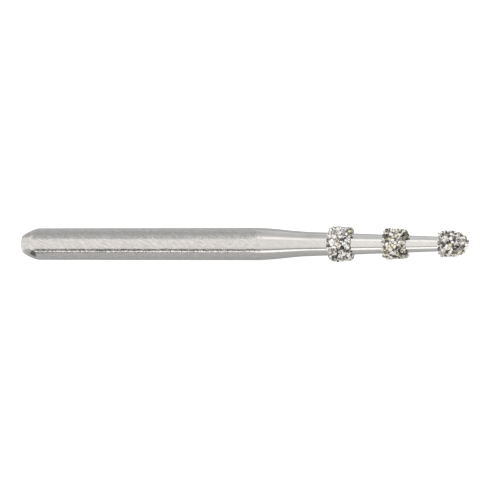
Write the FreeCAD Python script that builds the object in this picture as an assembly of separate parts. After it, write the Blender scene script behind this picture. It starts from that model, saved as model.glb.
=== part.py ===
import FreeCAD, Part

import math
import os
import random

# A diamond depth-marking bur: one turned steel blank that carries three plated bands of grit.
# It lies along +X with its working tip forward, +Z is up, and the origin is the centre of the
# shank's rear face. Lengths are in millimetres and angles in degrees.

overall_length = 22.80  # rear face to the crest of the grit on the nose
working_length = 10.45  # edge between shank and neck to the crest on the nose

# Shank
shank_diameter = 1.60
end_diameter = 0.94  # rear face, before its edge is rounded
end_slope = 22.5
end_edge_radius = 0.15
end_shoulder_radius = 0.70

# Neck, which leaves the shank gently, steepens in its throat and eases into the core
neck_slope = 2.5
neck_length = 0.70
throat_slope = 6.6
throat_length = 1.32
neck_crown_radius = 19.0
neck_hollow_radius = 16.0

# Core, the long taper that shows between the bands and stops the cut at its depth
core_slope = 2.1

# Bands
cut_depth = 0.31  # core to the crests of the grit
bond_height = 0.17  # core to the nickel between the crystals
collar_height = 0.05  # core to the raised collar of the blank that carries a band
collar_inset = 0.10  # flank of a band to the flank of its collar
ring_count = 2  # bands behind the one on the tip
ring_width = 0.95
tip_band_width = 1.40
band_spacing = 2.71  # flank to like flank
rear_bevel = 0.13  # bevels that the plating leaves round a band's edges
front_bevel = 0.07
bond_sides = 24
nose_length = 0.95  # rounded end of the foremost band
blank_nose_radius = 0.30  # edge of the blank's own tip, under the nose
nose_steps = 5

# Grit
crystal_lean = 25  # most that a crystal leans from upright
crystal_sink = 0.4  # depth of a crystal's middle in the nickel, as a share of its half height
crystal_variation = 0.2  # share by which a crystal is longer or shorter one way than another
crystal_spacing = 0.28
crystal_stray = 0.25  # share of the spacing by which a crystal strays from its place
crest_variation = 0.45  # share of the crest height by which the lowest crystals fall short
grit_seed = 868

vector = FreeCAD.Vector
golden_angle = 180 * (3 - math.sqrt(5))
join = 1e-6  # edges closer than this meet

# Places and radii that follow from the sizes above
shank_radius = shank_diameter / 2
end_radius = end_diameter / 2
end_run = (shank_radius - end_radius) / math.tan(math.radians(end_slope))
neck_start = overall_length - working_length
throat_start = neck_start + neck_length
throat_radius = shank_radius - neck_length * math.tan(math.radians(neck_slope))
core_start = throat_start + throat_length
core_start_radius = throat_radius - throat_length * math.tan(math.radians(throat_slope))
tip_band_start = overall_length - tip_band_width
nose_start = overall_length - nose_length
crest_height = cut_depth - bond_height


def core_radius(x):
    """Radius of the core's taper at x."""
    return core_start_radius - (x - core_start) * math.tan(math.radians(core_slope))


def nose_end(height):
    """How far forward the nose goes at a height above the core."""
    return overall_length - cut_depth + height


def ring_places():
    """Rear and front flank of each band behind the tip's."""
    starts = [tip_band_start - band_spacing * back for back in range(ring_count, 0, -1)]
    return [(start, start + ring_width) for start in starts]


def line(start, end):
    """The straight edge between two points, or none where they meet."""
    return [Part.makeLine(start, end)] if (end - start).Length > join else []


def rounded_outline(corners):
    """Edges through (x, radius, fillet) corners. Fillets too large for their run share it."""
    points = [vector(x, radius, 0) for x, radius, fillet in corners]
    runs = [end - start for start, end in zip(points, points[1:])]
    turns = [first.getAngle(second) for first, second in zip(runs, runs[1:])]
    wanted = [corner[2] * math.tan(turn / 2) for corner, turn in zip(corners[1:], turns)]
    wanted = [0] + wanted + [0]
    share = [run.Length / max(run.Length, wanted[i] + wanted[i + 1]) for i, run in enumerate(runs)]
    edges = []
    last = points[0]
    for i, turn in enumerate(turns, 1):
        reach = wanted[i] * min(share[i - 1], share[i])
        start = points[i] - runs[i - 1] * (reach / runs[i - 1].Length)
        edges += line(last, start)
        last = start
        if reach > join:
            last = points[i] + runs[i] * (reach / runs[i].Length)
            inward = (start + last) / 2 - points[i]
            middle = points[i] + inward * (reach * math.tan(turn / 4) / inward.Length)
            edges.append(Part.Arc(start, middle, last).toShape())
    return edges + line(last, points[-1])


def collar_corners(start, end):
    """Outline corners of a raised collar between two places on the core."""
    return [
        (start, core_radius(start), 0),
        (start, core_radius(start) + collar_height, 0),
        (end, core_radius(end) + collar_height, 0),
        (end, core_radius(end), 0),
    ]


def steel_blank():
    """Shank, neck, core, collars and nose, turned as one piece."""
    corners = [
        (0, 0, 0),
        (0, end_radius, end_edge_radius),
        (end_run, shank_radius, end_shoulder_radius),
        (neck_start, shank_radius, 0),
        (throat_start, throat_radius, neck_crown_radius),
        (core_start, core_start_radius, neck_hollow_radius),
    ]
    for start, end in ring_places():
        corners += collar_corners(start + collar_inset, end - collar_inset)
    end = nose_end(collar_height)
    corners += collar_corners(tip_band_start + collar_inset, end)[:2]
    corners += [(end, core_radius(end) + collar_height, blank_nose_radius), (end, 0, 0)]
    edges = rounded_outline(corners)
    edges.append(Part.makeLine(edges[-1].lastVertex().Point, edges[0].firstVertex().Point))
    outline = Part.Face(Part.Wire(edges))
    return outline.revolve(vector(0, 0, 0), vector(1, 0, 0), 360)


def ring_outline(start, end):
    """The (x, radius) outline of a band's nickel, with its edges bevelled."""
    return [
        (start, core_radius(start) + bond_height - rear_bevel),
        (start + rear_bevel, core_radius(start + rear_bevel) + bond_height),
        (end - front_bevel, core_radius(end - front_bevel) + bond_height),
        (end, core_radius(end) + bond_height - front_bevel),
    ]


def tip_outline():
    """The (x, radius) outline of the foremost band's nickel: a bevel, the side and an oval nose."""
    side = ring_outline(tip_band_start, nose_start)[:2]
    radius = core_radius(nose_start) + bond_height
    length = nose_end(bond_height) - nose_start
    turns = [math.radians(90 * i / (nose_steps + 0.5)) for i in range(nose_steps + 1)]
    return side + [(nose_start + length * math.sin(a), radius * math.cos(a)) for a in turns]


def bond(outline):
    """The nickel, with flat sides between the crystals."""
    rows = []
    for x, radius in outline:
        turns = [2 * math.pi * i / bond_sides for i in range(bond_sides + 1)]
        corners = [vector(x, radius * math.cos(turn), radius * math.sin(turn)) for turn in turns]
        rows.append(Part.makePolygon(corners))
    return Part.makeLoft(rows, True, True)


def walk(outline, distance):
    """The point at a distance along an (x, radius) outline, and the direction out of it."""
    for (x, radius), (next_x, next_radius) in zip(outline, outline[1:]):
        length = math.hypot(next_x - x, next_radius - radius)
        if distance <= length:
            break
        distance -= length
    along = vector(next_x - x, next_radius - radius, 0) / length
    place = vector(x, radius, 0) + along * min(distance, length)
    return place, vector(-along.y, along.x, 0)


def crystal(place, outward, crest, rng):
    """An octahedron, its middle sunk in the nickel at a place and its highest point a crest above."""
    upright = FreeCAD.Rotation(vector(0, 0, 1), outward)
    first_turn = FreeCAD.Rotation(vector(0, 0, 1), rng.uniform(0, 360))
    lean = FreeCAD.Rotation(vector(1, 0, 0), rng.uniform(0, crystal_lean))
    last_turn = FreeCAD.Rotation(vector(0, 0, 1), rng.uniform(0, 360))
    turn = upright * last_turn * lean * first_turn
    points = []
    for axis in (vector(1, 0, 0), vector(0, 1, 0), vector(0, 0, 1)):
        reach = turn.multVec(axis) * (1 + crystal_variation * rng.uniform(-1, 1))
        points += [reach, reach * -1]
    size = crest / (max(point.dot(outward) for point in points) - crystal_sink)
    points = [place + (point - outward * crystal_sink) * size for point in points]
    faces = []
    for i in (0, 1):
        for j in (2, 3):
            for k in (4, 5):
                corners = [points[i], points[j], points[k], points[i]]
                faces.append(Part.Face(Part.makePolygon(corners)))
    return Part.makeSolid(Part.makeShell(faces))


def grit(outline, rng):
    """Crystals spread evenly over an outline turned about the axis, each a golden angle on."""
    spans = list(zip(outline, outline[1:]))
    lengths = [math.hypot(end[0] - start[0], end[1] - start[1]) for start, end in spans]
    areas = [math.pi * (a[1] + b[1]) * length for (a, b), length in zip(spans, lengths)]
    count = round(sum(areas) / crystal_spacing**2)
    crystals = []
    for number in range(count):
        wanted = sum(areas) * (number + 0.5) / count
        distance = 0
        for area, length in zip(areas, lengths):
            if wanted <= area:
                distance += length * wanted / area
                break
            wanted -= area
            distance += length
        distance += crystal_spacing * crystal_stray * rng.uniform(-1, 1)
        distance = min(max(distance, 0), sum(lengths))
        place, outward = walk(outline, distance)
        stray = crystal_spacing * crystal_stray * rng.uniform(-1, 1) / max(place.y, crystal_spacing)
        turn = FreeCAD.Rotation(vector(1, 0, 0), golden_angle * number + math.degrees(stray))
        crest = crest_height * (1 - crest_variation * rng.random())
        crystals.append(crystal(turn.multVec(place), turn.multVec(outward), crest, rng))
    return crystals


def grit_band(outline, crystals, blank):
    """A band of nickel and grit, bored out by the blank that it is plated on."""
    return bond(outline).fuse(crystals).cut(blank)


def build():
    """Every piece of the bur by name."""
    blank = steel_blank()
    rng = random.Random(grit_seed)
    pieces = {"steel_blank": blank}
    for number, (start, end) in enumerate(ring_places(), 1):
        outline = ring_outline(start, end)
        pieces[f"grit_ring_{number}"] = grit_band(outline, grit(outline, rng), blank)
    outline = tip_outline()
    crystals = grit(outline, rng)
    crystals.append(crystal(vector(nose_end(bond_height), 0, 0), vector(1, 0, 0), crest_height, rng))
    pieces["grit_tip"] = grit_band(outline, crystals, blank)
    return pieces


os.makedirs("parts", exist_ok=True)
for name, shape in build().items():
    shape.exportStep(f"parts/{name}.step")
    print(name, len(shape.Solids), "solid,", round(shape.Volume, 4), "cubic mm")
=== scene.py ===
import math

import bmesh
import bpy
import numpy as np
from mathutils import Matrix, Vector


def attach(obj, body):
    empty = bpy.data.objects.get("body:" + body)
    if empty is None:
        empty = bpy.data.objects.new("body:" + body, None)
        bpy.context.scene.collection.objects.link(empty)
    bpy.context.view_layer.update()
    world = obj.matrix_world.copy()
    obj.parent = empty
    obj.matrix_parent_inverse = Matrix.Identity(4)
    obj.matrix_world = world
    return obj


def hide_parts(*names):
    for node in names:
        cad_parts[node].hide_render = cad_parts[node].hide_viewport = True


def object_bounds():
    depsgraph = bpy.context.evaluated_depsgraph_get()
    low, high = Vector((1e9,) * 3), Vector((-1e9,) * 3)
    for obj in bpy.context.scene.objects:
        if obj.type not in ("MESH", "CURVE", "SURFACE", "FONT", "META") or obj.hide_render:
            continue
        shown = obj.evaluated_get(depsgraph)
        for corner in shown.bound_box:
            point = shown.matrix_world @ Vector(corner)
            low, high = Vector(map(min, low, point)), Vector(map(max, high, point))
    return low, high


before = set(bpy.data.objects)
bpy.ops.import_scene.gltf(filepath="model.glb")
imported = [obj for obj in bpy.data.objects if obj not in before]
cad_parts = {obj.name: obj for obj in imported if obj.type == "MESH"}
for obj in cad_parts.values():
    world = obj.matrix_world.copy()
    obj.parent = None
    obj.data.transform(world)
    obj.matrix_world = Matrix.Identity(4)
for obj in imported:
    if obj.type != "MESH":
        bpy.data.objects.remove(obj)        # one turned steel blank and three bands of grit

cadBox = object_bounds()
mm = 0.001  # shapes are worked out in millimetres and scaled on their way into a mesh
tipEnd = cadBox[1].x / mm

# Where the bands lie along the core, which the blank's collars follow as well
bandPlan = {
    "rings": 2,  # bands behind the one on the tip
    "ringWidth": 0.95,
    "tipBandWidth": 1.40,
    "pitch": 2.71,  # flank to like flank
    "cutDepth": 0.31,  # core to crests
}

tipBandStart = tipEnd - bandPlan["tipBandWidth"]
ringStarts = [tipBandStart - bandPlan["pitch"] * back for back in range(bandPlan["rings"], 0, -1)]


# Turned surfaces

def slope(degrees):
    # change of radius per length of a taper = tan(degrees)
    return math.tan(math.radians(degrees))


def roundedOutline(corners, arcSteps=10):
    # straight runs between (x, r) corners, each corner replaced by an arc tangent to both of its runs,
    # whose centre = corner + inward * radius / cos(half of the turn)
    points = np.array([c[:2] for c in corners], float)
    outline = [points[0]]
    for i in range(1, len(points) - 1):
        back = points[i - 1] - points[i]
        ahead = points[i + 1] - points[i]
        back, ahead = back / np.linalg.norm(back), ahead / np.linalg.norm(ahead)
        half = (math.pi - math.acos(np.clip(back @ ahead, -1, 1))) / 2  # half of the turn
        radius = corners[i][2]
        if radius == 0:
            outline.append(points[i])
            continue
        inward = (back + ahead) / np.linalg.norm(back + ahead)
        centre = points[i] + inward * radius / math.cos(half)
        side = (ahead - back) / np.linalg.norm(ahead - back)
        turns = np.linspace(-half, half, arcSteps)
        outline.extend(centre + radius * (np.outer(np.sin(turns), side) - np.outer(np.cos(turns), inward)))
    outline.append(points[-1])
    return np.array(outline)


def withRows(outline, spacing):
    # the outline's own points, with more between them wherever they lie further apart than the spacing
    parts = []
    for start, end in zip(outline, outline[1:]):
        steps = max(1, math.ceil(np.linalg.norm(end - start) / spacing))
        parts.append(start + (end - start) * np.linspace(0, 1, steps, endpoint=False)[:, None])
    return np.vstack(parts + [outline[-1:]])


def roundAxis(along, out, turns):
    # (along, out cos a, out sin a) for every turn a
    return np.stack(np.broadcast_arrays(along, out * np.cos(turns), out * np.sin(turns)), -1)


def turned(profile, sides):
    # each profile point (x, r) goes round the axis, and its normal (-dr, dx) / length goes round with it
    turns = np.linspace(0, 2 * math.pi, sides, endpoint=False)
    run = np.gradient(profile, axis=0)
    run /= np.linalg.norm(run, axis=1, keepdims=True)
    return roundAxis(profile[:, :1], profile[:, 1:], turns), roundAxis(-run[:, 1:], run[:, :1], turns)


def skin(grid, closed=False):
    # quads between neighbouring rows of a turned grid, which joins up either row to row all the way
    # round or at a pole on the axis at each end
    poles = grid[[0, -1], 0] * (1, 0, 0)
    rows = grid if closed else grid[1:-1]
    sides = grid.shape[1]
    points = rows.reshape(-1, 3)
    numbers = np.arange(len(points)).reshape(len(rows), sides)
    nextSide = np.roll(numbers, -1, 1)
    last = len(rows) if closed else len(rows) - 1
    far, farNext = np.roll(numbers, -1, 0), np.roll(nextSide, -1, 0)
    faces = np.stack([numbers, nextSide, farNext, far], -1)[:last].reshape(-1, 4).tolist()
    if not closed:
        first, final = len(points), len(points) + 1
        points = np.vstack([points, poles])
        faces += np.stack([np.full(sides, first), nextSide[0], numbers[0]], -1).tolist()
        faces += np.stack([np.full(sides, final), numbers[-1], nextSide[-1]], -1).tolist()
    return points, faces


def addPiece(name, points, faces, material, smooth=True):
    # an object whose mesh is the points, given in millimetres, times mm
    mesh = bpy.data.meshes.new(name)
    mesh.from_pydata((points * mm).tolist(), [], faces)
    mesh.polygons.foreach_set("use_smooth", [smooth] * len(mesh.polygons))
    mesh.materials.append(material)
    piece = bpy.data.objects.new(name, mesh)
    bpy.context.scene.collection.objects.link(piece)
    return piece


# Nodes

def addNode(tree, kind, inputs=None, **settings):
    # each input is a socket to link or a value to set
    node = tree.nodes.new(kind)
    for key, value in settings.items():
        setattr(node, key, value)
    for key, value in (inputs or {}).items():
        if isinstance(value, bpy.types.NodeSocket):
            tree.links.new(value, node.inputs[key])
        else:
            node.inputs[key].default_value = value
    return node


def addMath(tree, operation, first, second=0.0, third=0.0, clamp=False):
    inputs = {0: first, 1: second, 2: third}
    return addNode(tree, "ShaderNodeMath", inputs, operation=operation, use_clamp=clamp).outputs[0]


def multiplyVectors(tree, first, second):
    return addNode(tree, "ShaderNodeVectorMath", {0: first, 1: second}, operation="MULTIPLY").outputs[0]


def softStep(tree, value, first, last):
    # 0 up to the first value, 1 from the last one on and straight between them
    inputs = {"Value": value, "From Min": first, "From Max": last}
    return addNode(tree, "ShaderNodeMapRange", inputs).outputs[0]


def placeStep(tree, value, first, last):
    # a soft step between two places in millimetres
    return softStep(tree, value, first * mm, last * mm)


def between(tree, share, first, last):
    # first + share * (last - first)
    inputs = {"Value": share, "To Min": first, "To Max": last}
    return addNode(tree, "ShaderNodeMapRange", inputs).outputs[0]


def mixColours(tree, share, first, second, blend="MIX"):
    # a Mix node's colours are its inputs 6 and 7 and its output 2
    inputs = {"Factor": share, 6: first, 7: second}
    return addNode(tree, "ShaderNodeMix", inputs, data_type="RGBA", blend_type=blend).outputs[2]


def addRamp(tree, value, stops):
    # each stop is (place, colour), and colours run straight between stops
    node = addNode(tree, "ShaderNodeValToRGB", {0: value})
    elements = node.color_ramp.elements
    elements.remove(elements[1])
    for place, colour in stops[1:]:
        elements.new(place).color = (*colour, 1)
    elements[0].position, elements[0].color = stops[0][0], (*stops[0][1], 1)
    return node.outputs["Color"]


def newMaterial(name):
    material = bpy.data.materials.new(name)
    material.use_nodes = True
    tree = material.node_tree
    tree.nodes.clear()
    shader = addNode(tree, "ShaderNodeBsdfPrincipled")
    addNode(tree, "ShaderNodeOutputMaterial", {"Surface": shader.outputs[0]})
    return material, tree, shader


# Grain that both metals share

metalGrain = {
    "scratchScale": 14000.0,  # scales of noise are per metre
    "scratchRound": 0.03,  # how fast a scratch changes round the axis, as a share of how fast along it
    "streakScale": 13000.0,
    "streakSlant": -22.0,  # degrees from the axis
    "streakStretch": 4.5,  # length of a streak over its width
}


def grainGroup():
    # Fine unevenness of a metal surface: height = mottling noise * mottle + scratch noise * scratch, whose
    # scratches run round the axis, and streak = noise stretched along a slant
    tree = bpy.data.node_groups.new("metalGrain", "ShaderNodeTree")
    for name in ("Mottle Scale", "Mottle", "Scratch"):
        tree.interface.new_socket(name, in_out="INPUT", socket_type="NodeSocketFloat")
    for name in ("Height", "Streak"):
        tree.interface.new_socket(name, in_out="OUTPUT", socket_type="NodeSocketFloat")
    given = tree.nodes.new("NodeGroupInput").outputs
    place = addNode(tree, "ShaderNodeTexCoord").outputs["Object"]
    mottle = addNode(tree, "ShaderNodeTexNoise", {
        "Vector": place, "Scale": given["Mottle Scale"], "Detail": 1.0, "Roughness": 0.5,
    }).outputs["Fac"]
    across = metalGrain["scratchRound"]
    scratch = addNode(tree, "ShaderNodeTexNoise", {
        "Vector": multiplyVectors(tree, place, (1, across, across)),
        "Scale": metalGrain["scratchScale"], "Detail": 2.0, "Roughness": 0.7,
    }).outputs["Fac"]
    height = addMath(tree, "MULTIPLY", mottle, given["Mottle"])
    height = addMath(tree, "MULTIPLY_ADD", scratch, given["Scratch"], height)
    slant = addNode(tree, "ShaderNodeMapping", {
        "Vector": place,
        "Rotation": (0, 0, math.radians(metalGrain["streakSlant"])),
        "Scale": (metalGrain["streakStretch"], 1, 1),
    }, vector_type="TEXTURE").outputs[0]
    streak = addNode(tree, "ShaderNodeTexNoise", {
        "Vector": slant, "Scale": metalGrain["streakScale"], "Detail": 3.0, "Roughness": 0.7,
    }).outputs["Fac"]
    addNode(tree, "NodeGroupOutput", {"Height": height, "Streak": streak})
    return tree


grain = grainGroup()


def addGrain(tree, finish):
    # one finish's grain: its height * bump, in metres, and its streaks
    inputs = {
        "Mottle Scale": finish["mottleScale"], "Mottle": finish["mottle"], "Scratch": finish["scratch"],
    }
    outputs = addNode(tree, "ShaderNodeGroup", inputs, node_tree=grain).outputs
    return addMath(tree, "MULTIPLY", outputs["Height"], finish["bump"]), outputs["Streak"]


# Steel blank

blank = {
    "shankRadius": 0.80,
    "rearEnd": [(0.05, 0.48, 0.10), (0.32, 0.63, 1.5), (0.76, 0.80, 0.9)],  # corners (x, radius, rounding)
    "workingLength": 10.45,  # edge between shank and neck to the tip
    "neckSlope": 2.5,
    "neckLength": 0.70,
    "throatSlope": 6.6,
    "throatLength": 1.32,
    "neckCrown": 19.0,  # rounding from the neck into its throat, and from there into the core
    "neckHollow": 16.0,
    "coreSlope": 2.1,
    "collarHeight": 0.05,
    "collarInset": 0.10,
    "noseRadius": 0.30,
    "rowSpacing": 0.10,
    "sides": 128,
}

steelFinish = {
    "colour": (0.61, 0.583, 0.56),
    "coreColour": (0.67, 0.645, 0.62),  # brighter where the core is polished, from and to x
    "polished": (14.5, 17.0),
    "groundEnd": 0.35,  # how far past the neck's edge the ground finish runs
    "shankRoughness": 0.12,
    "neckRoughness": 0.10,
    "mottleScale": 13000.0,  # so about 0.08 mm
    "mottle": 0.6,
    "scratch": 0.4,
    "bump": 8.5e-6,
    "neckShare": 0.04,  # how much of the bump is left on the neck
    "streakContrast": 4.0,  # how far the streaks' noise is spread about its middle
    "streaks": 0.22,  # how much darker or lighter the streaks of the shank are, and the neck's
    "neckStreaks": 0.09,
}

neckStart = tipEnd - blank["workingLength"]
throatStart = neckStart + blank["neckLength"]
throatRadius = blank["shankRadius"] - blank["neckLength"] * slope(blank["neckSlope"])
coreStart = throatStart + blank["throatLength"]
coreStartRadius = throatRadius - blank["throatLength"] * slope(blank["throatSlope"])


def coreRadius(x):
    # the core is one cone: its radius falls by the slope times the distance
    return coreStartRadius - (x - coreStart) * slope(blank["coreSlope"])


def steelMaterial():
    # ground as far as the neck and polished from there on: colour = finish * (1 + streak * depth)
    material, tree, shader = newMaterial("groundSteel")
    place = addNode(tree, "ShaderNodeTexCoord").outputs["Object"]
    along = addNode(tree, "ShaderNodeSeparateXYZ", {0: place}).outputs[0]
    onNeck = addMath(tree, "GREATER_THAN", along, (neckStart + steelFinish["groundEnd"]) * mm)
    height, streak = addGrain(tree, steelFinish)
    share = between(tree, onNeck, 1.0, steelFinish["neckShare"])
    bump = addNode(tree, "ShaderNodeBump", {"Height": height, "Distance": 1.0, "Strength": share})
    rough = between(tree, onNeck, steelFinish["shankRoughness"], steelFinish["neckRoughness"])
    polish = placeStep(tree, along, *steelFinish["polished"])
    colour = addRamp(tree, polish, [(0.0, steelFinish["colour"]), (1.0, steelFinish["coreColour"])])
    contrast = steelFinish["streakContrast"]
    streak = addMath(tree, "MULTIPLY_ADD", streak, contrast, -contrast / 2)
    depth = between(tree, onNeck, steelFinish["streaks"], steelFinish["neckStreaks"])
    streak = addMath(tree, "MULTIPLY_ADD", streak, depth, 1.0)
    tree.links.new(multiplyVectors(tree, colour, streak), shader.inputs["Base Color"])
    tree.links.new(rough, shader.inputs["Roughness"])
    tree.links.new(bump.outputs[0], shader.inputs["Normal"])
    shader.inputs["Metallic"].default_value = 1.0
    return material


def collarCorners(start, end):
    # (x, radius, rounding) corners of a collar that stands collarHeight above the core
    height = blank["collarHeight"]
    return [
        (start, coreRadius(start), 0),
        (start, coreRadius(start) + height, 0),
        (end, coreRadius(end) + height, 0),
        (end, coreRadius(end), 0),
    ]


def ringCollar(start):
    # the collar under a ring, inset from both of its flanks
    inset = blank["collarInset"]
    return collarCorners(start + inset, start + bandPlan["ringWidth"] - inset)


def tipCollar():
    # the foremost collar, which ends in the blank's rounded nose
    end = tipEnd - bandPlan["cutDepth"] + blank["collarHeight"]
    foot, edge, nose = collarCorners(tipBandStart + blank["collarInset"], end)[:3]
    return [foot, edge, (*nose[:2], blank["noseRadius"]), (end, 0, 0)]


def blankOutline():
    # from the middle of the rear face over shank, neck, core and collars to the middle of the nose
    corners = [
        (blank["rearEnd"][0][0], 0, 0),
        *blank["rearEnd"],
        (neckStart, blank["shankRadius"], 0),
        (throatStart, throatRadius, blank["neckCrown"]),
        (coreStart, coreStartRadius, blank["neckHollow"]),
    ]
    for start in ringStarts:
        corners += ringCollar(start)
    return roundedOutline(corners + tipCollar())


def makeBlank():
    grid, normals = turned(withRows(blankOutline(), blank["rowSpacing"]), blank["sides"])
    points, faces = skin(grid)
    piece = addPiece("turnedBlank", points, faces, steelMaterial())
    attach(piece, "root")
    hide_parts("steel_blank")


makeBlank()
print("blank turned")


# Bands of grit

grit = {
    "bondHeight": 0.17,  # core to the nickel between the crystals
    "rearRound": 0.20,  # rounding of the crests' outline at a band's edges
    "frontRound": 0.07,
    "leastRound": 0.02,
    "noseLength": 0.95,
    "noseSteps": 24,
    "rearReach": 0.09,  # how far the crests reach past a band's flanks
    "frontReach": 0.12,
    "sides": 128,
    "bondRow": 0.03,
    "creep": 0.04,  # how far the nickel creeps up a crystal, and how far round it
    "creepReach": 0.10,
    # "drop" is how far under the crests' outline a batch's highest points lie, "jump" how much they differ
    "large": {"spacing": 0.138, "radius": (0.065, 0.105), "drop": 0.0, "jump": 0.016},
    "small": {"spacing": 0.095, "radius": (0.035, 0.06), "drop": 0.06, "jump": 0.03},
    "scatterRow": 0.02,
    "stray": 0.3,  # share of the spacing by which a crystal strays from its place
    "shapes": 10,
    "cornerTilt": 0.35,  # how far the plane that cuts a corner off leans from square to the diagonal
    "cornerCut": (0.95, 1.35),  # how far from the middle it lies
    "cutSlack": 1e-5,  # a point this close to the plane lies on it
    "stretch": (0.7, 1.0),
    "lightness": (0.95, 0.58, 0.15),  # painted light coming back through bright, middling and dark crystals
    # painted light: each facet's random share of brighter or darker light coming back through its crystal
    "facetContrast": 0.58,
    "paintedSideShade": 0.24,  # painted shade: how much darker a facet is at a crystal's waist than at its top
    "seed": 868,
}

# Each band's share of crystals with bright, middling and dark painted light, how rarely its crystals are
# tinted, and its accents, single crystals that stand out: (x past the rear flank, radius, angle round from
# +Y, lean forwards, size, painted light, tint)
bands = [
    {
        "name": "Ring1",
        "node": "grit_ring_1",
        "lightShares": (0.65, 0.17, 0.18),
        "tintPower": 2.5,
        "accents": [
            (1.06, 0.76, 66, 30, 0.10, 0.7, 1.0),
            (0.98, 0.72, 174, 30, 0.12, 0.6, 0.2),
            (0.12, 0.795, 27, -10, 0.07, 0.5, 0.1),
            (0.33, 0.80, 24, 0, 0.07, 0.65, 0.3),
            (0.44, 0.815, 25, 0, 0.065, 0.75, 0.0),
            (0.35, 0.82, 203, 0, 0.075, 0.3, 0.1),
            (0.15, 0.80, 206, -10, 0.07, 0.8, 0.0),
            (-0.04, 0.74, 26, -15, 0.065, 0.55, 0.2),
        ],
    },
    {
        "name": "Ring2",
        "node": "grit_ring_2",
        "lightShares": (0.51, 0.16, 0.33),
        "tintPower": 0.75,
        "accents": [
            (1.10, 0.58, 67, 40, 0.16, 0.55, 1.0),
            (1.11, 0.60, 190, 45, 0.10, 0.95, 0.1),
            (1.02, 0.55, 172, 45, 0.09, 0.0, 0.3),
            (0.12, 0.705, 207, -15, 0.07, 0.4, 0.2),
            (0.22, 0.705, 26, -5, 0.07, 0.6, 0.4),
            (-0.09, 0.58, 205, -55, 0.085, 0.75, 0.1),
        ],
    },
    {
        "name": "Tip",
        "node": "grit_tip",
        "lightShares": (0.70, 0.16, 0.14),
        "tintPower": 1.5,
        "accents": [
            (0.99, 0.47, 131, 35, 0.10, 0.05, 0.6),
            (0.85, 0.53, 125, 30, 0.10, 0.1, 0.6),
            (0.78, 0.55, 140, 25, 0.09, 0.15, 0.7),
            (-0.08, 0.48, 28, -50, 0.07, 0.6, 0.2),
            (-0.08, 0.45, 205, -50, 0.07, 0.5, 0.3),
            (0.30, 0.59, 25, 0, 0.06, 0.6, 0.1),
            (1.35, 0.03, 60, 85, 0.06, 0.8, 0.3),
            (1.33, 0.13, 50, 75, 0.06, 0.7, 0.2),
            (1.32, 0.14, 200, 75, 0.07, 0.6, 0.2),
        ],
    },
]

nickelFinish = {
    # the nickel's grey, darkened well past real nickel as painted shade in the gaps between crystals
    "colour": (0.15, 0.14, 0.125),
    "metallic": 0.9,
    "roughness": 0.34,
    "mottleScale": 16000.0,
    "mottle": 0.6,
    "scratch": 0.0,
    "bump": 7.5e-6,
}

diamondFinish = {
    # colours of the painted facet light, from dark to bright
    "tones": [
        (0.0, (0.010, 0.009, 0.007)),
        (0.25, (0.09, 0.08, 0.07)),
        (0.55, (0.42, 0.41, 0.375)),
        (0.8, (0.82, 0.81, 0.78)),
        (1.0, (0.98, 0.98, 0.97)),
    ],
    "tints": [
        (0.0, (1.0, 0.99, 0.975)),
        (0.4, (1.0, 0.96, 0.91)),
        (0.75, (1.0, 0.89, 0.82)),
        (0.92, (0.94, 0.91, 0.75)),
        (1.0, (0.84, 0.84, 0.50)),
    ],
    "roughness": 0.10,
    "ior": 1.8,
}


def nickelMaterial():
    # nickel's own dull grey, darkened further as painted shade between the crystals; its bump is mottling
    # alone
    material, tree, shader = newMaterial("nickelBond")
    height = addGrain(tree, nickelFinish)[0]
    bump = addNode(tree, "ShaderNodeBump", {"Height": height, "Distance": 1.0})
    tree.links.new(bump.outputs[0], shader.inputs["Normal"])
    shader.inputs["Base Color"].default_value = (*nickelFinish["colour"], 1)
    shader.inputs["Metallic"].default_value = nickelFinish["metallic"]
    shader.inputs["Roughness"].default_value = nickelFinish["roughness"]
    return material


def diamondMaterial():
    # each facet has a painted tone of its own that stands in for the light coming back through a crystal,
    # and each crystal a tint of its own colour: colour = tone * tint
    material, tree, shader = newMaterial("diamondCrystal")
    tone = addNode(tree, "ShaderNodeAttribute", attribute_name="facetPaintedLight").outputs["Fac"]
    tint = addNode(tree, "ShaderNodeAttribute", attribute_name="crystalTint").outputs["Fac"]
    tone = addRamp(tree, tone, diamondFinish["tones"])
    tint = addRamp(tree, tint, diamondFinish["tints"])
    tree.links.new(mixColours(tree, 1.0, tone, tint, "MULTIPLY"), shader.inputs["Base Color"])
    shader.inputs["Roughness"].default_value = diamondFinish["roughness"]
    shader.inputs["IOR"].default_value = diamondFinish["ior"]
    return material


def bandOutline(start, isTip, sunk):
    # Up the rear flank, round its edge, along the taper, and down the front flank or over an oval nose,
    # (end + length sin a, radius cos a), everywhere the same depth under the crests
    near, depth = start - grit["rearReach"] + sunk, bandPlan["cutDepth"] - sunk
    end = start + bandPlan["ringWidth"] + grit["frontReach"] - sunk
    if isTip:
        end = tipEnd - grit["noseLength"]
    rear, front = (max(grit[name] - sunk, grit["leastRound"]) for name in ("rearRound", "frontRound"))
    radius = coreRadius(end) + depth
    corners = [(near, coreRadius(near), 0), (near, coreRadius(near) + depth, rear)]
    if isTip:
        turns = np.linspace(0, math.pi / 2, grit["noseSteps"])[1:]
        length = grit["noseLength"] - sunk
        nose = np.stack([end + length * np.sin(turns), radius * np.cos(turns)], -1)
        return np.vstack([roundedOutline(corners + [(end, radius, 0)]), nose])
    return roundedOutline(corners + [(end, radius, front), (end, coreRadius(end), 0)])


def boreOutline(start, isTip, near, end):
    # the blank's own outline under a band, from front to rear
    foot = [(near, coreRadius(near), 0)]
    if isTip:
        return roundedOutline(foot + tipCollar())[::-1]
    return roundedOutline(foot + ringCollar(start) + [(end, coreRadius(end), 0)])[::-1]


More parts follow.
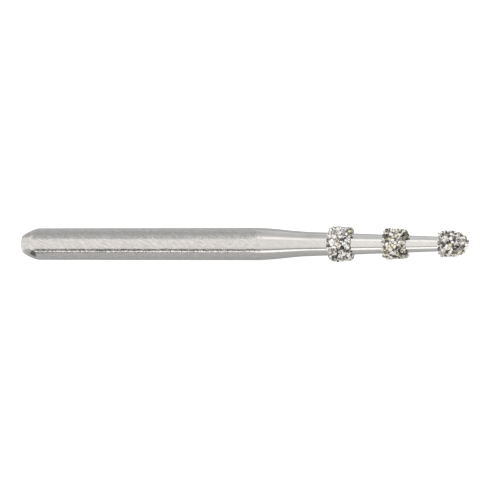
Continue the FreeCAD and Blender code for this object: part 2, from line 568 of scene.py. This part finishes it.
def scatter(outline, spacing, rng):
    # Places spread evenly over the surface that the outline sweeps: number i of n lies where the area
    # swept so far is (i + 1/2) / n of the whole, and a golden angle further round than the one before
    rows = withRows(outline, grit["scatterRow"])
    lengths = np.linalg.norm(np.diff(rows, axis=0), axis=1)
    swept = np.concatenate([[0], np.cumsum(math.pi * (rows[1:, 1] + rows[:-1, 1]) * lengths)])
    along = np.concatenate([[0], np.cumsum(lengths)])
    count = round(swept[-1] / spacing**2)
    distance = np.interp((np.arange(count) + 0.5) / count * swept[-1], swept, along)
    distance += spacing * grit["stray"] * rng.uniform(-1, 1, count)
    distance = np.clip(distance, 0, along[-1])
    x, r = np.interp(distance, along, rows[:, 0]), np.interp(distance, along, rows[:, 1])
    run = np.gradient(rows, axis=0)
    out = np.stack([-np.interp(distance, along, run[:, 1]), np.interp(distance, along, run[:, 0])], -1)
    out /= np.linalg.norm(out, axis=1, keepdims=True)
    turns = np.arange(count) * math.pi * (3 - math.sqrt(5))
    turns += spacing * grit["stray"] * rng.uniform(-1, 1, count) / np.maximum(r, spacing)
    return roundAxis(x, r, turns), roundAxis(out[:, 0], out[:, 1], turns)


def cutCorner(mesh, corner, rng):
    # takes off what lies beyond a plane that is about square to the corner's diagonal
    tilt = grit["cornerTilt"]
    normal = Vector(corner) + Vector(rng.uniform(-tilt, tilt, 3))
    normal.normalize()
    place = normal * rng.uniform(*grit["cornerCut"])
    everything = mesh.verts[:] + mesh.edges[:] + mesh.faces[:]
    bmesh.ops.bisect_plane(
        mesh, geom=everything, dist=grit["cutSlack"], plane_co=place, plane_no=normal, clear_outer=True)
    rim = [edge for edge in mesh.edges if edge.is_boundary]
    if rim:
        bmesh.ops.contextual_create(mesh, geom=rim)


def crystalShapes(rng):
    # cubes with each corner cut off, some deep and some shallow, as triangles that remember which
    # facet they belong to
    cubeCorners = [(x, y, z) for x in (-1, 1) for y in (-1, 1) for z in (-1, 1)]
    shapes = []
    for _ in range(grit["shapes"]):
        mesh = bmesh.new()
        bmesh.ops.create_cube(mesh, size=2)
        for corner in cubeCorners:
            cutCorner(mesh, corner, rng)
        for facet, face in enumerate(mesh.faces):
            face.material_index = facet
        bmesh.ops.triangulate(mesh, faces=mesh.faces[:])
        bmesh.ops.recalc_face_normals(mesh, faces=mesh.faces[:])
        mesh.verts.ensure_lookup_table()
        points = np.array([vert.co for vert in mesh.verts])
        triangles = np.array([[vert.index for vert in face.verts] for face in mesh.faces])
        facets = np.array([face.material_index for face in mesh.faces])
        shapes.append((points / np.abs(points).max(), triangles, facets))
        mesh.free()
    return shapes


def randomTurns(count, rng):
    # rotation matrices from evenly spread unit quaternions (w, x, y, z)
    quaternions = rng.normal(size=(4, count))
    w, x, y, z = quaternions / np.linalg.norm(quaternions, axis=0)
    return np.stack([
        np.stack([1 - 2 * (y * y + z * z), 2 * (x * y - w * z), 2 * (x * z + w * y)], -1),
        np.stack([2 * (x * y + w * z), 1 - 2 * (x * x + z * z), 2 * (y * z - w * x)], -1),
        np.stack([2 * (x * z - w * y), 2 * (y * z + w * x), 1 - 2 * (x * x + y * y)], -1),
    ], -2)


def growCrystals(shapes, places, normals, sizes, band, rng, light=None, tint=None):
    # Each crystal is one of the shapes, stretched and turned at random, with its middle sunk so that its
    # highest point stands its own size above the place: centre = place + normal (size - reach). A facet's
    # painted tone = its crystal's painted light + a random contrast - painted shade * (1 - its height /
    # size)
    count = len(places)
    turns = randomTurns(count, rng)
    stretch = sizes[:, None] * rng.uniform(*grit["stretch"], (count, 3))
    kinds = rng.integers(0, len(shapes), count)
    if light is None:
        light = rng.choice(grit["lightness"], count, p=band["lightShares"])
        tint = rng.random(count) ** band["tintPower"]
    points, faces, tones, tints = [], [], [], []
    offset = 0
    for kind, (corners, triangles, facets) in enumerate(shapes):
        own = kinds == kind
        if not own.any():
            continue
        placed = np.einsum("nvk,njk->nvj", corners * stretch[own, None], turns[own])
        reach = np.einsum("nvk,nk->nv", placed, normals[own]).max(1)
        placed += (places[own] + normals[own] * (sizes[own] - reach)[:, None])[:, None]
        number = np.arange(own.sum())[:, None, None] * len(corners)
        points.append(placed.reshape(-1, 3))
        faces.append((triangles + number + offset).reshape(-1, 3))
        contrast = grit["facetContrast"] * rng.uniform(-1, 1, (own.sum(), facets.max() + 1))
        height = np.einsum("nvk,nk->nv", placed - places[own, None], normals[own]) / sizes[own, None]
        # painted shade: each facet is darker the nearer it lies to its crystal's waist
        shade = grit["paintedSideShade"] * (1 - height[:, triangles].mean(2))
        tones.append(((light[own, None] + contrast)[:, facets] - shade).ravel())
        tints.append(np.repeat(tint[own], len(facets)))
        offset += len(points[-1])
    return np.vstack(points), np.vstack(faces), np.concatenate(tones), np.concatenate(tints)


def accentPlaces(start, accents):
    # places of single crystals, and the outward directions (sin lean, cos lean cos a, cos lean sin a)
    x, r, angle, lean, size = np.array(accents, float).T
    angle, lean = np.radians(angle), np.radians(lean)
    return roundAxis(start + x, r, angle), roundAxis(np.sin(lean), np.cos(lean), angle), size


def addGrit(band, start, isTip, shapes, material, rng):
    # a large and a small batch of crystals, each scattered at its own depth, and then the accents
    batches = []
    for batch in ("large", "small"):
        size = grit[batch]
        middle = sum(size["radius"]) / 2
        outline = bandOutline(start, isTip, middle + size["drop"])
        places, normals = scatter(outline, size["spacing"], rng)
        sizes = rng.uniform(*size["radius"], len(places))
        lift = middle - sizes + size["jump"] * rng.uniform(-1, 1, len(places))
        places += normals * lift[:, None]
        batches.append(growCrystals(shapes, places, normals, sizes, band, rng))
        if batch == "large":
            centres = places
    places, normals, sizes = accentPlaces(start, [accent[:5] for accent in band["accents"]])
    light, tint = np.array([accent[5:] for accent in band["accents"]], float).T
    batches.append(growCrystals(shapes, places, normals, sizes, band, rng, light, tint))
    points, faces, tones, tints = zip(*batches)
    offsets = np.cumsum([0] + [len(some) for some in points])
    faces = np.vstack([some + offset for some, offset in zip(faces, offsets)])
    piece = addPiece("diamond" + band["name"], np.vstack(points), faces.tolist(), material, smooth=False)
    for attribute, values in (("facetPaintedLight", tones), ("crystalTint", tints)):
        layer = piece.data.attributes.new(attribute, "FLOAT", "FACE")
        layer.data.foreach_set("value", np.clip(np.concatenate(values), 0, 1))
    return piece, centres


def addBond(band, start, isTip, centres, material):
    # nickel creeps up the large crystals: lift = creep * exp(-(distance / creepReach)^2), where the
    # nearest crystal counts
    outer = bandOutline(start, isTip, bandPlan["cutDepth"] - grit["bondHeight"])
    near, end = outer[0, 0], outer[-1, 0]
    outerGrid, normals = turned(withRows(outer, grit["bondRow"]), grit["sides"])
    apart = np.linalg.norm(outerGrid[:, :, None] - centres, axis=3).min(2)
    lift = grit["creep"] * np.exp(-(apart / grit["creepReach"]) ** 2)
    lift[0] = 0
    lift[-1] = lift[-1].mean() if isTip else 0
    outerGrid = outerGrid + normals * lift[..., None]
    inner = boreOutline(start, isTip, near, end)
    innerGrid, normals = turned(inner[:-1] if isTip else inner[1:-1], grit["sides"])
    points, faces = skin(np.vstack([innerGrid, outerGrid]), closed=not isTip)
    return addPiece("nickel" + band["name"], points, faces, material)


def makeBands():
    nickel, diamond = nickelMaterial(), diamondMaterial()
    rng = np.random.default_rng(grit["seed"])
    shapes = crystalShapes(rng)
    for band, start in zip(bands, ringStarts + [tipBandStart]):
        isTip = band["node"] == "grit_tip"
        crystals, centres = addGrit(band, start, isTip, shapes, diamond, rng)
        bond = addBond(band, start, isTip, centres, nickel)
        for piece in (crystals, bond):
            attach(piece, "root")
            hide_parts(band["node"])
        print(band["name"], "plated with", len(centres), "large crystals")


makeBands()


# Floor

room = {
    "floorSize": 4.0,
    "floorColour": (0.63, 0.645, 0.655),
    "floorRoughness": 0.9,
    "paperScale": 900.0,  # grain of the paper, per metre
    "paperShade": 0.97,  # how dark its spots are, and where the noise goes from spot to plain paper
    "paperSpots": (0.3, 0.7),
    "floorGlow": 0.8,  # what the camera sees of the floor beyond its own colour, so that it is white
    "paintedCardGlow": 1.1,  # painted reflection: glow that only the metal sees, as of a white sheet in front of the neck and core
    "paintedCardX": (12.5, 15.0),  # its soft edges
    "paintedCardY": (-9.0, -13.5),
    # Beyond the rear end the floor holds a painted dark reflection and a painted pale reflection beside it,
    # which only the metal sees. Both have soft edges along lines out = turn * back + shift, where back is
    # -x and out is -y from rearPoint
    "rearPoint": (0.6, -0.65),
    # painted dark reflection: how dark the patch is that only the metal sees
    "paintedDarkShade": 0.25,
    "paintedDarkInner": (0.95, -0.55),
    "paintedDarkOuter": (2.9, 0.0),
    "paintedDarkOut": (0.5, 1.7),
    "paintedDarkSoft": 0.15,
    # painted reflection: glow of a pale patch beyond the rear end that only the metal sees
    "paintedPaleGlow": 0.45,
    "paleOuter": (0.62, -1.1),
    "paleOut": (-4.0, -2.5),
    "paleBack": (0.4, 0.7),
    "paleSoft": 0.6,
}


def beyondLine(tree, back, out, line, soft):
    # 0 where out - turn * back < shift and 1 from a soft edge further out
    turn, shift = line
    return placeStep(tree, addMath(tree, "MULTIPLY_ADD", back, -turn, out), shift, shift + soft)


def rearPaintedReflections(tree, x, y):
    # masks of the painted dark reflection = past inner * (1 - past outer) * far enough out, and of the
    # painted pale reflection = (1 - past its outer) * far enough out * far enough back
    rearX, rearY = room["rearPoint"]
    back = addMath(tree, "SUBTRACT", rearX * mm, x)
    out = addMath(tree, "SUBTRACT", rearY * mm, y)
    # the painted dark reflection's mask
    inner = beyondLine(tree, back, out, room["paintedDarkInner"], room["paintedDarkSoft"])
    outer = beyondLine(tree, back, out, room["paintedDarkOuter"], room["paintedDarkSoft"])
    paintedDark = addMath(tree, "MULTIPLY", inner, addMath(tree, "SUBTRACT", 1.0, outer))
    paintedDark = addMath(tree, "MULTIPLY", paintedDark, placeStep(tree, out, *room["paintedDarkOut"]))
    # the painted pale reflection's mask
    outer = beyondLine(tree, back, out, room["paleOuter"], room["paleSoft"])
    pale = addMath(tree, "SUBTRACT", 1.0, outer)
    pale = addMath(tree, "MULTIPLY", pale, placeStep(tree, out, *room["paleOut"]))
    return paintedDark, addMath(tree, "MULTIPLY", pale, placeStep(tree, back, *room["paleBack"]))


def floorMaterial():
    # The camera sees plain white paper with the bur's shadow. What the metal mirrors also holds painted
    # reflections, a bright patch, a pale patch and a dark patch: glow = camera * floorGlow + mirrored *
    # (bright patch * its glow + pale patch * its glow), and colour = paper * (1 - mirrored * dark patch *
    # (1 - its shade))
    material, tree, shader = newMaterial("paleFloor")
    place = addNode(tree, "ShaderNodeTexCoord").outputs["Object"]
    x, y = addNode(tree, "ShaderNodeSeparateXYZ", {0: place}).outputs[:2]
    path = addNode(tree, "ShaderNodeLightPath").outputs
    mirrored = addMath(tree, "MAXIMUM", path["Is Glossy Ray"], path["Is Transmission Ray"])
    paintedDark, pale = rearPaintedReflections(tree, x, y)
    # painted reflection: a bright patch in front of the neck and core, seen only by mirrored rays
    paintedCard = addMath(tree, "MULTIPLY", placeStep(tree, x, *room["paintedCardX"]), placeStep(tree, y, *room["paintedCardY"]))
    paintedCard = addMath(tree, "MULTIPLY", paintedCard, room["paintedCardGlow"])
    glow = addMath(tree, "MULTIPLY", mirrored, addMath(tree, "MULTIPLY_ADD", pale, room["paintedPaleGlow"], paintedCard))
    glow = addMath(tree, "MULTIPLY_ADD", path["Is Camera Ray"], room["floorGlow"], glow)
    paper = addNode(tree, "ShaderNodeTexNoise", {
        "Vector": place, "Scale": room["paperScale"], "Detail": 2.0,
    }).outputs["Fac"]
    spotColour = tuple(room["paperShade"] * channel for channel in room["floorColour"])
    spot, plain = room["paperSpots"]
    colour = addRamp(tree, paper, [(spot, spotColour), (plain, room["floorColour"])])
    # painted dark reflection, darkening the floor for mirrored rays only
    mirroredPaintedDark = addMath(tree, "MULTIPLY", mirrored, paintedDark)
    dim = addMath(tree, "MULTIPLY_ADD", mirroredPaintedDark, room["paintedDarkShade"] - 1, 1.0)
    tree.links.new(multiplyVectors(tree, colour, dim), shader.inputs["Base Color"])
    tree.links.new(glow, shader.inputs["Emission Strength"])
    shader.inputs["Emission Color"].default_value = (1, 1, 1, 1)
    shader.inputs["Roughness"].default_value = room["floorRoughness"]
    shader.inputs["Specular IOR Level"].default_value = 0.0
    return material


def makeFloor():
    # a square of paper under the lowest point of the bur
    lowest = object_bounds()[0].z
    half = room["floorSize"] / 2 / mm
    corners = np.array([[-half, -half], [half, -half], [half, half], [-half, half]])
    points = np.column_stack([corners, np.full(len(corners), lowest / mm)])
    floor = addPiece("floor", points, [[0, 1, 2, 3]], floorMaterial())


# Light tent

tent = {
    "brightest": 1.8,
    "coolShade": (0.97, 1.0, 1.02),  # tint of all cloth dimmer than white
    # Cloth as (degrees round the X axis from the front horizon, strength): a bright strip, a dark seam,
    # the lit top and a dim back. Each wall takes over as the x of a direction goes through its turns
    "walls": [
        {  # mirrored by the neck and core
            "turns": None,
            "cloth": [
                (0, 1.8), (15, 1.8), (16.5, 0.55), (27, 0.55), (29, 1.0), (45, 1.13), (99, 1.15),
                (102, 1.50), (117, 1.50), (121, 0.90), (145, 0.77), (165, 0.90), (180, 0.96),
            ],
        },
        {  # by the shank
            "turns": (-0.14, -0.26),
            "cloth": [
                (0, 0.25), (5.6, 0.25), (6.4, 1.8), (12.5, 1.8), (13.5, 0.13), (26.6, 0.13), (28.6, 1.03),
                (45, 1.13), (99, 1.15), (104, 0.71), (120, 0.68), (150, 0.56), (180, 0.68),
            ],
        },
        {  # by the rear end's shoulder, without the bright strip
            "turns": (-0.38, -0.45),
            "cloth": [
                (0, 0.15), (9, 0.3), (14, 0.35), (18, 1.03), (45, 1.13), (106, 1.15),
                (110, 0.71), (125, 0.68), (150, 0.56), (180, 0.68),
            ],
        },
        {  # by its taper
            "turns": (-0.58, -0.66),
            "cloth": [
                (0, 0.12), (6.5, 0.12), (8.5, 1.15), (130, 1.15), (142, 0.85), (158, 0.62), (180, 0.55),
            ],
        },
        {  # by its edge, plain
            "turns": (-0.80, -0.88),
            "cloth": [(0, 1.1), (180, 1.1)],
        },
    ],
}


def clothStop(degrees, strength):
    # a stop of the ramp: its place = degrees / 180, its colour = tint * strength / brightest
    tint = (1, 1, 1) if strength >= 1 else tent["coolShade"]
    return degrees / 180, tuple(strength / tent["brightest"] * channel for channel in tint)


def makeWorld():
    # strength by the angle atan2(z, -y) round the X axis, and plain white where the camera looks past
    world = bpy.data.worlds.new("lightTent")
    bpy.context.scene.world = world
    world.use_nodes = True
    tree = world.node_tree
    tree.nodes.clear()
    way = addNode(tree, "ShaderNodeTexCoord").outputs["Generated"]
    x, y, z = addNode(tree, "ShaderNodeSeparateXYZ", {0: way}).outputs
    angle = addMath(tree, "ARCTAN2", z, addMath(tree, "MULTIPLY", y, -1.0))
    share = addMath(tree, "DIVIDE", angle, math.pi, clamp=True)
    colour = None
    for wall in tent["walls"]:
        cloth = addRamp(tree, share, [clothStop(*stop) for stop in wall["cloth"]])
        if wall["turns"]:
            cloth = mixColours(tree, softStep(tree, x, *wall["turns"]), colour, cloth)
        colour = cloth
    lit = addNode(tree, "ShaderNodeBackground", {"Color": colour, "Strength": tent["brightest"]}).outputs[0]
    white = addNode(tree, "ShaderNodeBackground", {"Color": (1, 1, 1, 1), "Strength": 1.0}).outputs[0]
    seen = addNode(tree, "ShaderNodeLightPath").outputs["Is Camera Ray"]
    mixed = addNode(tree, "ShaderNodeMixShader", {0: seen, 1: lit, 2: white}).outputs[0]
    addNode(tree, "ShaderNodeOutputWorld", {"Surface": mixed})


# Camera

view = {
    "target": (11.625, 0, 0),
    "below": 0.052,  # the axis stands this far above the middle of the picture
    "distance": 119.0,
    "yaw": 15.0,  # how far the camera stands towards the tip
    "elevation": 65.0,
    "lens": 177.3,
    "clip": (0.01, 10.0),  # in metres
}


def makeCamera():
    # back = (sin yaw, -cos yaw cos elevation, cos yaw sin elevation), with the bur level in the picture
    yaw, elevation = math.radians(view["yaw"]), math.radians(view["elevation"])
    level = math.cos(yaw)
    back = Vector((math.sin(yaw), -level * math.cos(elevation), level * math.sin(elevation)))
    right = (Vector((1, 0, 0)) - back * back.x).normalized()
    up = back.cross(right)
    camera = bpy.data.objects.new("camera", bpy.data.cameras.new("camera"))
    camera.data.lens = view["lens"]
    camera.data.clip_start, camera.data.clip_end = view["clip"]
    place = (Vector(view["target"]) - up * view["below"] + back * view["distance"]) * mm
    camera.matrix_world = Matrix.Translation(place) @ Matrix((right, up, back)).transposed().to_4x4()
    bpy.context.scene.collection.objects.link(camera)
    bpy.context.scene.camera = camera


makeFloor()
makeWorld()
makeCamera()
bpy.context.scene.view_settings.view_transform = "Standard"
print("floor, tent and camera placed")
